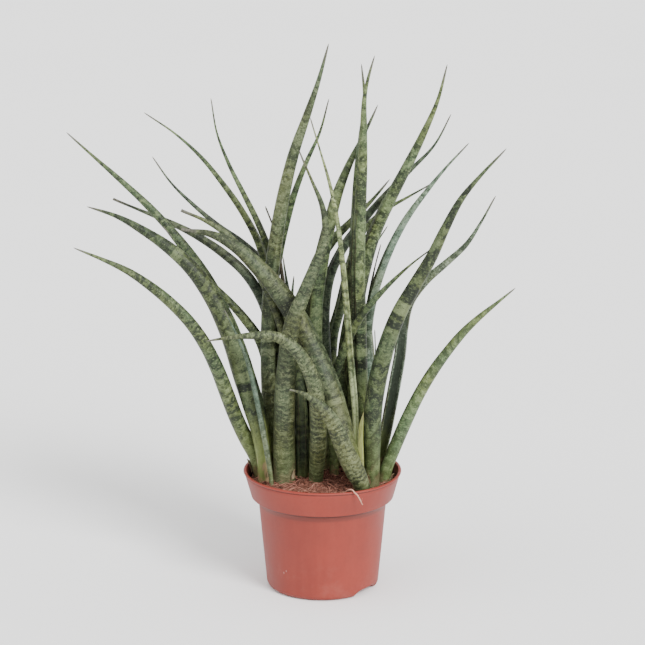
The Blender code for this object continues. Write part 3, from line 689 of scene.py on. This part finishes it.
def sheath_material(name, green):
    made = Surface(name, specular=0.25)
    place = made.node("ShaderNodeTexCoord", {}).outputs["Object"]
    share = made.value("share")
    veins = made.noise(made.stretch(made.value("straight", "Vector"), (0.06, 1.6, 1.6)), detail=3)
    # The green tones are partly the sheath's own yellow-green, partly painted light that lifts it in the
    # shade at the leaf's foot
    tones = ((0.60, 0.68, 0.18), (0.84, 0.88, 0.38)) if green else ((0.15, 0.10, 0.055), (0.34, 0.28, 0.17))
    colour = made.mix(made.remap(veins, 0.35, 0.65), *tones)
    colour = made.mix(made.remap(share, 0.75, 1.0, 0.0, 0.7), colour, (0.26, 0.20, 0.11))
    stain = made.noise(place, 140, detail=3)
    stained = made.remap(stain, 0.55, 0.7, 0.0, 0.15 if green else 0.75)
    colour = made.mix(stained, colour, (0.085, 0.046, 0.025))
    return made.finish(colour, made.remap(veins, 0.3, 0.7, 0.55, 0.8), made.bump(veins, 0.6, 0.3 * MM))


def make_sheath(leaf, start, end, facing, width, surface, number):
    """A thin dry sheath that wraps the side of the leaf's foot that faces a bearing, up to a curled point."""
    rows, columns = SHEATH_ROWS, SHEATH_COLUMNS
    climb = np.linspace(0, 1, rows)
    share = start + (end - start) * climb
    centre, across, out, half, deep = leaf.at(share)
    reach = np.radians(width) / 2 * (0.03 + 0.97 * (1 - climb**1.4) ** 0.9)
    sweep = np.linspace(-1, 1, columns)
    wobble = np.array([[noise.noise(Vector((3 * c, 2.4 * s, number))) for s in sweep] for c in climb])
    way = np.array([math.cos(math.radians(facing)), math.sin(math.radians(facing)), 0])
    middle = math.atan2(float(way @ out[0]), float(way @ across[0]))
    angle = middle + reach[:, None] * (sweep[None] + 0.25 * wobble)
    curl = (0.55 + 1.5 * climb[:, None] ** 3 + 0.5 * np.abs(sweep[None]) ** 3 + 0.5 * wobble) * MM
    layers = []
    for thick in (0.0, SHEATH_THICK):
        grow = np.maximum(curl, SHEATH_CLEAR) + thick
        u = (half[:, None] + grow) * np.cos(angle)
        v = (deep[:, None] + grow) * np.sin(angle)
        layer = centre[:, None] + across[:, None] * u[..., None] + out[:, None] * v[..., None]
        layers.append(layer.reshape(-1, 3))
    points = np.vstack(layers)
    size = rows * columns
    inner = grid_faces(rows, columns, closed=False)
    faces = [face[::-1] for face in inner] + [tuple(k + size for k in face) for face in inner]
    rim = [r * columns for r in range(rows)] + [size - columns + c for c in range(1, columns)]
    rim += [r * columns + columns - 1 for r in range(rows - 2, -1, -1)] + list(range(columns - 2, 0, -1))
    faces += [(a, b, b + size, a + size) for a, b in zip(rim, rim[1:] + rim[:1])]
    ones = np.ones(columns)
    along = (share * leaf.length)[:, None] * ones
    straight = np.stack([along, half[:, None] * angle, 0 * angle + number * MM], axis=-1)
    values = {
        "straight": np.tile(straight.reshape(-1, 3) / MM, (2, 1)),
        "share": np.tile((climb[:, None] * ones).ravel(), 2),
    }
    name = "sheath_" + leaf.name.removeprefix("leaf_")
    piece(name, points, faces, surface, (), values)


# ---------------- pot


def inner_radius(z):
    heights = [FLOOR_TOP, BODY_TOP + WALL, BAND_FOOT + WALL, POT_HEIGHT]
    radii = [FOOT_RADIUS, BODY_TOP_RADIUS, BAND_FOOT_RADIUS, BAND_TOP_RADIUS]
    return float(np.interp(z, heights, radii)) - WALL


def arc(middle, radius, start, end, steps):
    """Points of an arc in the (radius, z) plane, angles in degrees."""
    turn = np.radians(np.linspace(start, end, steps + 1))
    return [(middle[0] + radius * math.cos(t), middle[1] + radius * math.sin(t)) for t in turn]


def straight_run(start, end, steps):
    """Points between two, without the two themselves."""
    return [
        (start[0] + (end[0] - start[0]) * k / steps, start[1] + (end[1] - start[1]) * k / steps)
        for k in range(1, steps)
    ]


def pot_profile():
    """(radius, z) from the axis underneath, out over the foot, up the outside, over the lip and down inside.

    The second list says which points belong to the foot ring and the outside, which the notches push up."""
    edge = 0.35 * MM
    under = [(0, 0.02 * MM), (RECESS_INNER - edge, 0.02 * MM), (RECESS_INNER, edge)]
    under += [(RECESS_INNER, RECESS_DEPTH), (RECESS_OUTER, RECESS_DEPTH)]
    outside = [(RECESS_OUTER, edge), (RECESS_OUTER + edge, 0), (FOOT_RADIUS - FOOT_FILLET, 0)]
    outside += arc((FOOT_RADIUS - FOOT_FILLET, FOOT_FILLET), FOOT_FILLET, -80, 0, 8)
    corner = (BODY_TOP_RADIUS, BODY_TOP)
    outside += straight_run(outside[-1], corner, 14) + [corner]
    # A hollow shoulder that ends in a sharp undercut below the band
    hollow = ((0.03, 0.14), (0.09, 0.32), (0.18, 0.50), (0.30, 0.66), (0.45, 0.78), (0.60, 0.86))
    for across, up in hollow:
        outside.append((BODY_TOP_RADIUS + across * SHOULDER_STEP, BODY_TOP + up * SHOULDER_HEIGHT))
    outside += [
        (BAND_FOOT_RADIUS - 1.5 * MM, BAND_FOOT - 0.75 * MM),
        (BAND_FOOT_RADIUS - 0.5 * MM, BAND_FOOT - 0.35 * MM),
        (BAND_FOOT_RADIUS - 0.08 * MM, BAND_FOOT - 0.08 * MM),
        (BAND_FOOT_RADIUS + 0.06 * MM, BAND_FOOT + 0.4 * MM),
    ]
    band_top = (BAND_TOP_RADIUS - 0.1 * MM, POT_HEIGHT - 2.5 * MM)
    outside += straight_run(outside[-1], band_top, 8) + [band_top]
    # A fine groove under the rolled lip
    outside += [
        (BAND_TOP_RADIUS - 0.32 * MM, POT_HEIGHT - 2.1 * MM),
        (BAND_TOP_RADIUS - 0.25 * MM, POT_HEIGHT - 1.75 * MM),
    ]
    outside += arc((RIM_RADIUS - LIP_ROLL, POT_HEIGHT - LIP_ROLL), LIP_ROLL, -70, 110, 12)
    inside = arc((inner_radius(POT_HEIGHT) + 0.5 * MM, POT_HEIGHT - 0.62 * MM), 0.5 * MM, 90, 180, 5)
    for z in (BAND_FOOT + WALL, BODY_TOP + WALL, FLOOR_TOP + 2 * MM):
        inside += straight_run(inside[-1], (inner_radius(z), z), 6) + [(inner_radius(z), z)]
    inside += [(inner_radius(FLOOR_TOP) - 1.5 * MM, FLOOR_TOP), (0, FLOOR_TOP)]
    raised = [False] * len(under) + [True] * len(outside) + [False] * len(inside)
    return under + outside + inside, raised


def notch_rise(x, y):
    """Height of the notch arch at a point of the foot ring."""
    best = 0.0
    for degrees in NOTCH_DEGREES:
        turn = math.radians(degrees)
        ahead = x * math.cos(turn) + y * math.sin(turn)
        aside = abs(y * math.cos(turn) - x * math.sin(turn)) / NOTCH_HALF_WIDTH
        if ahead > 0 and aside < 1:
            best = max(best, NOTCH_HEIGHT * (1 - aside**3.2) ** 0.75)
    return best


def pot_material():
    made = Surface("terracotta_looks", specular=0.4)
    place = made.node("ShaderNodeTexCoord", {}).outputs["Object"]
    cloud = made.noise(place, 22, detail=3)
    grain = made.noise(place, 420, detail=3, rough=0.6)
    streak = made.noise(made.stretch(place, (160, 160, 14)), detail=2)
    colour = made.mix(made.remap(cloud, 0.3, 0.7), (0.182, 0.0210, 0.0118), (0.222, 0.0272, 0.0156))
    colour = made.mix(made.remap(streak, 0.35, 0.7, 0.0, 0.25), colour, (0.235, 0.036, 0.022))
    colour = made.mix(made.remap(grain, 0.4, 0.75, 0.0, 0.18), colour, (0.132, 0.0165, 0.0100))
    # Dried splashes and rubs low on the body
    high = made.node("ShaderNodeSeparateXYZ", {0: place}).outputs["Z"]
    low = made.remap(high, 0.008, 0.040, 1.0, 0.0)
    spots = made.remap(made.cells(made.stretch(place, (1, 1, 0.6)), 210), 0.10, 0.17, 1.0, 0.0)
    chosen = made.remap(made.noise(place, 55, detail=1), 0.58, 0.66)
    splash = made.math("MULTIPLY", made.math("MULTIPLY", spots, chosen), made.math("MULTIPLY", low, 0.7))
    colour = made.mix(splash, colour, (0.46, 0.28, 0.24))
    film = made.math("MULTIPLY", made.remap(made.noise(place, 70, detail=4, rough=0.65), 0.48, 0.72), low)
    colour = made.mix(made.math("MULTIPLY", film, 0.16), colour, (0.30, 0.11, 0.085))
    # Painted shade: darker inside the pot below its top, in the fine groove under the lip, and on the
    # shoulder under the band, darkest right below its undercut
    colour = made.mix(made.value("dirt"), colour, (0.030, 0.012, 0.0085))
    wavy = made.bump(made.noise(place, 38, detail=2), 0.25, 0.6 * MM)
    pitted = made.bump(grain, 0.30, 0.12 * MM, wavy)
    return made.finish(colour, made.remap(cloud, 0.3, 0.7, 0.46, 0.58), pitted)


def cylinder(name, radius, low, high, place, sides=40):
    turn = 2 * np.pi * np.arange(sides) / sides
    ring = np.column_stack([place[0] + radius * np.cos(turn), place[1] + radius * np.sin(turn)])
    points = [(x, y, z) for z in (low, high) for x, y in ring]
    faces = [*grid_faces(2, sides), tuple(range(sides))[::-1], tuple(range(sides, 2 * sides))]
    mesh = bpy.data.meshes.new(name)
    mesh.from_pydata(points, [], faces)
    made = bpy.data.objects.new(name, mesh)
    bpy.context.scene.collection.objects.link(made)
    return made


def make_pot(surface):
    profile, raised = pot_profile()
    points, dirt = [], []
    for k, (radius, z) in enumerate(profile):
        for step in range(POT_SEGMENTS):
            turn = 2 * math.pi * step / POT_SEGMENTS
            x, y = radius * math.cos(turn), radius * math.sin(turn)
            share = z / POT_HEIGHT
            sway = RIM_SWAYS[0] * math.sin(2 * turn + 0.7) + RIM_SWAYS[1] * math.sin(5 * turn + 2.1)
            pull = 1 - (RIM_DRAWN + sway) * share**2 / RIM_RADIUS
            lift = 0.0
            if raised[k] and z < NOTCH_REACH:
                lift = notch_rise(x, y) * (1 - z / NOTCH_REACH)
            dip = RIM_DIP * (math.sin(3 * turn + 1.1) - 1) * fade(z, BAND_FOOT, POT_HEIGHT)
            points.append((x * pull, y * pull, z + lift + float(dip)))
        # Painted shade per profile ring: inside the pot below its top, in the lip's groove, and on the
        # shoulder under the band
        inside = k > raised.index(True) + sum(raised)
        depth = fade(POT_HEIGHT - z, 1 * MM, 5 * MM)
        groove = 0.75 if raised[k] and POT_HEIGHT - 2.3 * MM < z < POT_HEIGHT - 1.5 * MM else 0.0
        under = 0.0
        if raised[k] and BODY_TOP + 2 * MM < z < BAND_FOOT - 0.3 * MM:
            under = 0.34 + 0.56 * float(fade(z, BAND_FOOT - 3.4 * MM, BAND_FOOT - 0.9 * MM))
        dirt.extend([0.92 * float(depth) if inside else max(groove, under)] * POT_SEGMENTS)
    faces = grid_faces(len(profile), POT_SEGMENTS)
    made = piece("pot_looks", points, faces, surface, ("pot",), {"dirt": dirt})
    # The first and last profile points lie on the axis: their rings close to a point.
    weld(made.data, ON_AXIS)
    middle = (RECESS_INNER + RECESS_OUTER) / 2
    drills = []
    for k in range(DRAIN_HOLES):
        turn = 2 * math.pi * (k + 0.5) / DRAIN_HOLES
        place = (middle * math.cos(turn), middle * math.sin(turn))
        drills.append(cylinder(f"drill_{k}", DRAIN_RADIUS, -1 * MM, FLOOR_TOP + 1 * MM, place))
        hole = made.modifiers.new(f"drain_{k}", "BOOLEAN")
        hole.operation, hole.solver, hole.object = "DIFFERENCE", "EXACT", drills[-1]
    bpy.context.view_layer.update()
    cut = bpy.data.meshes.new_from_object(made.evaluated_get(bpy.context.evaluated_depsgraph_get()))
    made.modifiers.clear()
    made.data = cut
    for drill in drills:
        bpy.data.objects.remove(drill)
    made.data.set_sharp_from_angle(angle=math.radians(50))


# ---------------- coir


def coir_height(x, y):
    """Height of the coir's top at a point: a low mound with lumps of several sizes."""
    radius = math.hypot(x, y) / inner_radius(SOIL_LEVEL)
    mound = SOIL_MOUND * max(0.0, 1 - radius * radius)
    spot = Vector((x, y, 0))
    lumps = 1.1 * noise.noise(spot / (11 * MM)) + 0.75 * noise.noise(spot / (4.2 * MM) + Vector((5, 1, 2)))
    lumps += 0.5 * noise.noise(spot / (1.9 * MM) + Vector((1, 8, 3)))
    return SOIL_LEVEL + mound + lumps * MM - 0.4 * MM


def coir_material(name, fibre):
    made = Surface(name, specular=0.2)
    place = made.node("ShaderNodeTexCoord", {}).outputs["Object"]
    tone = made.value("tone")
    fine = made.noise(place, 900, detail=3)
    colour = made.mix(made.remap(tone, 0.0, 0.45), (0.060, 0.024, 0.016), (0.23, 0.090, 0.060))
    colour = made.mix(made.remap(tone, 0.4, 0.85), colour, (0.44, 0.200, 0.145))
    colour = made.mix(made.remap(tone, 0.88, 1.0), colour, (0.56, 0.31, 0.225))
    if not fibre:
        lumps = made.noise(place, 260, detail=4, rough=0.7)
        # Painted shade: the bed darkens in the hollows between the lumps that its bump draws
        colour = made.mix(made.remap(lumps, 0.35, 0.65, 0.75, 0.0), colour, (0.022, 0.011, 0.008))
        bits = made.remap(made.cells(place, 620), 0.0, 0.5, 0.5, 0.0)
        colour = made.mix(bits, colour, (0.26, 0.11, 0.07))
        return made.finish(colour, 0.95, made.bump(lumps, 0.9, 1.2 * MM))
    colour = made.mix(made.remap(fine, 0.3, 0.7, 0.4, 0.0), colour, (0.09, 0.04, 0.026))
    return made.finish(colour, 0.75, made.bump(fine, 0.4, 0.1 * MM))


def make_coir(surface):
    rim = inner_radius(SOIL_LEVEL) - TOP_GAP
    floor = FLOOR_TOP + FLOOR_GAP
    points, tone = [], []
    stops = [(0.0, floor)]
    for z in (floor, BODY_TOP + WALL, BAND_FOOT + WALL):
        stops.append((inner_radius(z) - WALL_GAP, z))
    stops += [(rim * (1 - k / SOIL_RINGS), None) for k in range(SOIL_RINGS)]
    for radius, z in stops:
        for step in range(SOIL_SEGMENTS):
            turn = 2 * math.pi * step / SOIL_SEGMENTS
            x, y = radius * math.cos(turn), radius * math.sin(turn)
            points.append((x, y, coir_height(x, y) if z is None else z))
            tone.append(0.25 + 0.5 * noise.noise(Vector((x, y, 0)) / (7 * MM)))
    faces = grid_faces(len(stops), SOIL_SEGMENTS)
    middle = len(points)
    points.append((0, 0, coir_height(0, 0)))
    tone.append(0.25)
    last = middle - SOIL_SEGMENTS
    faces += [(last + k, last + (k + 1) % SOIL_SEGMENTS, middle) for k in range(SOIL_SEGMENTS)]
    made = piece("coir_looks", points, faces, surface, ("soil",), {"tone": tone})
    # The lowest ring lies on the axis and closes to one point.
    weld(made.data, ON_AXIS)


def make_fibres(surface):
    """Coir fibres that lie over each other on the mound, some of them arching up out of it."""
    gathered = Shell()
    limit = inner_radius(SOIL_LEVEL) - 1.0 * MM
    for _ in range(FIBRES):
        radius, turn = limit * math.sqrt(RANDOM.random()), RANDOM.uniform(0, 2 * math.pi)
        place = np.array([radius * math.cos(turn), radius * math.sin(turn)])
        heading = RANDOM.uniform(0, 2 * math.pi)
        steps = RANDOM.randint(6, 11)
        step = RANDOM.uniform(1.2, 2.6) * MM
        bend = RANDOM.gauss(0, 0.25)
        arch = abs(RANDOM.gauss(0, 1.3)) * MM * (2.2 if RANDOM.random() < 0.12 else 1.0)
        spine = []
        for k in range(steps):
            if np.hypot(*place) > limit:
                place = place * limit / np.hypot(*place)
            rise = arch * math.sin(math.pi * k / (steps - 1)) - 0.15 * MM
            spine.append((*place, coir_height(*place) + rise))
            heading += bend + RANDOM.gauss(0, 0.22)
            place = place + step * np.array([math.cos(heading), math.sin(heading)])
        thick = RANDOM.uniform(0.09, 0.24) * MM
        radii = thick * np.sqrt(np.clip(1.02 - np.abs(np.linspace(-1, 1, steps)) ** 3, 0.1, 1))
        points, faces = strand(spine, radii, 4)
        gathered.add(points, faces, tone=[min(1.0, max(0.0, RANDOM.gauss(0.55, 0.24)))] * len(points))
    piece("coir_fibres", gathered.points, gathered.faces, surface, (), gathered.values)


def make_chips(surface):
    """Small rough chips of husk on the coir."""
    gathered = Shell()
    limit = inner_radius(SOIL_LEVEL) - 2.2 * MM
    ball = bmesh.new()
    bmesh.ops.create_icosphere(ball, subdivisions=2, radius=1)
    ball.verts.index_update()
    sphere = [v.co.copy() for v in ball.verts]
    triangles = [tuple(v.index for v in face.verts) for face in ball.faces]
    ball.free()
    for number in range(CHIPS):
        radius, turn = limit * math.sqrt(RANDOM.random()), RANDOM.uniform(0, 2 * math.pi)
        x, y = radius * math.cos(turn), radius * math.sin(turn)
        size = RANDOM.uniform(0.35, 1.25) * MM
        long, flat, spin = RANDOM.uniform(1.0, 2.4), RANDOM.uniform(0.35, 0.8), RANDOM.uniform(0, math.pi)
        middle = Vector((x, y, coir_height(x, y) + 0.2 * size))
        points = []
        for corner in sphere:
            rough = 1 + 0.75 * noise.noise(corner * 1.7 + Vector((number, 2 * number, 0)))
            away = Vector((corner.x * long, corner.y, corner.z * flat)) * rough * size
            x_turned = away.x * math.cos(spin) - away.y * math.sin(spin)
            y_turned = away.x * math.sin(spin) + away.y * math.cos(spin)
            points.append(middle + Vector((x_turned, y_turned, away.z)))
        gathered.add(points, triangles, tone=[min(0.9, max(0.0, RANDOM.gauss(0.35, 0.22)))] * len(points))
    piece("coir_chips", gathered.points, gathered.faces, surface, (), gathered.values)


def make_loose_fibre(surface):
    """The packed fibre over the lip, read back as a spine and drawn finer, with a kink and frayed ends."""
    shell = packed_shell("loose_coir_fibre")
    end = min(shell.verts, key=lambda v: v.co.z - 2 * math.hypot(v.co.x, v.co.y))
    ring = [v for v in shell.verts if (v.co - end.co).length < 1.4 * MM]
    spine = np.array([np.mean([v.co for v in layer], axis=0) for layer in spread(ring)])
    shell.free()
    knots = np.concatenate([[0], np.cumsum(np.linalg.norm(np.diff(spine, axis=0), axis=1))])
    climb = np.linspace(0, 1, 60)
    fine = smooth(knots, spine, climb * knots[-1])
    for k, t in enumerate(climb):
        aside, up = noise.noise(Vector((t * 9, 1, 2))), noise.noise(Vector((t * 9, 4, 2)))
        fine[k] += Vector((aside, 0, up * 0.6)) * 0.4 * MM
    gathered = Shell()
    points, faces = strand(fine, 0.56 * MM * (0.35 + 0.65 * np.sin(np.pi * climb) ** 0.5), 8)
    gathered.add(points, faces, tone=[0.97] * len(points))
    for start, way in ((4, 1), (30, -1), (44, 1)):
        hair = [fine[start + k] + Vector((0.25 * k * way, -0.1 * k, 0.16 * k)) * MM * 1.2 for k in range(7)]
        points, faces = strand(hair, np.linspace(0.20, 0.06, 7) * MM, 5)
        gathered.add(points, faces, tone=[0.8] * len(points))
    points, faces, values = gathered.points, gathered.faces, gathered.values
    piece("loose_fibre_looks", points, faces, surface, ("loose_coir_fibre",), values)


# ---------------- stage, light and camera


def floor_material():
    made = Surface("pale_floor", roughness=0.9, specular=0.1)
    place = made.node("ShaderNodeTexCoord", {}).outputs["Object"]
    colour = made.mix(made.noise(place, 3, detail=1), (0.90, 0.90, 0.895), (0.93, 0.93, 0.925))
    return made.finish(colour)


def make_stage():
    across = np.linspace(-FLOOR_REACH, FLOOR_REACH, FLOOR_POINTS)
    points = [(x, y, -FLOOR_DROP) for y in across for x in across]
    faces = grid_faces(FLOOR_POINTS, FLOOR_POINTS, closed=False)
    piece("floor", points, faces, floor_material(), stage=True)
    world = bpy.data.worlds.new("studio")
    bpy.context.scene.world = world
    world.use_nodes = True
    ambient = world.node_tree.nodes["Background"]
    ambient.inputs["Color"].default_value = (1.0, 1.0, 1.0, 1)
    ambient.inputs["Strength"].default_value = AMBIENT
    for name, strength, softness, turn in LAMPS:
        lamp = bpy.data.lights.new(name, "SUN")
        lamp.energy, lamp.angle = strength, math.radians(softness)
        held = bpy.data.objects.new(name, lamp)
        held.rotation_euler = [math.radians(part) for part in turn]
        bpy.context.scene.collection.objects.link(held)


def make_camera():
    lens = bpy.data.cameras.new("camera")
    lens.sensor_width, lens.lens = SENSOR_MM, LENS_MM
    lens.clip_start, lens.clip_end = 0.05, 50
    held = bpy.data.objects.new("camera", lens)
    held.location = CAMERA_PLACE
    aim = Vector(CAMERA_AIM) - held.location
    held.rotation_euler = aim.to_track_quat("-Z", "Y").to_euler()
    bpy.context.scene.collection.objects.link(held)
    bpy.context.scene.camera = held


def main():
    make_camera()
    make_stage()
    make_pot(pot_material())
    make_coir(coir_material("coir_bed_looks", False))
    make_fibres(coir_material("coir_fibre_looks", True))
    make_chips(coir_material("coir_chip_looks", True))
    make_loose_fibre(coir_material("loose_fibre_skin", True))
    leaves = {name: make_leaf(name) for name in sorted(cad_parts) if name.startswith("leaf_")}
    papery, green = sheath_material("papery_sheath", False), sheath_material("green_sheath", True)
    for number, (name, *shape) in enumerate(SHEATHS):
        surface = green if name == GREEN_SHEATH else papery
        make_sheath(leaves[name], *shape, surface, number)


main()
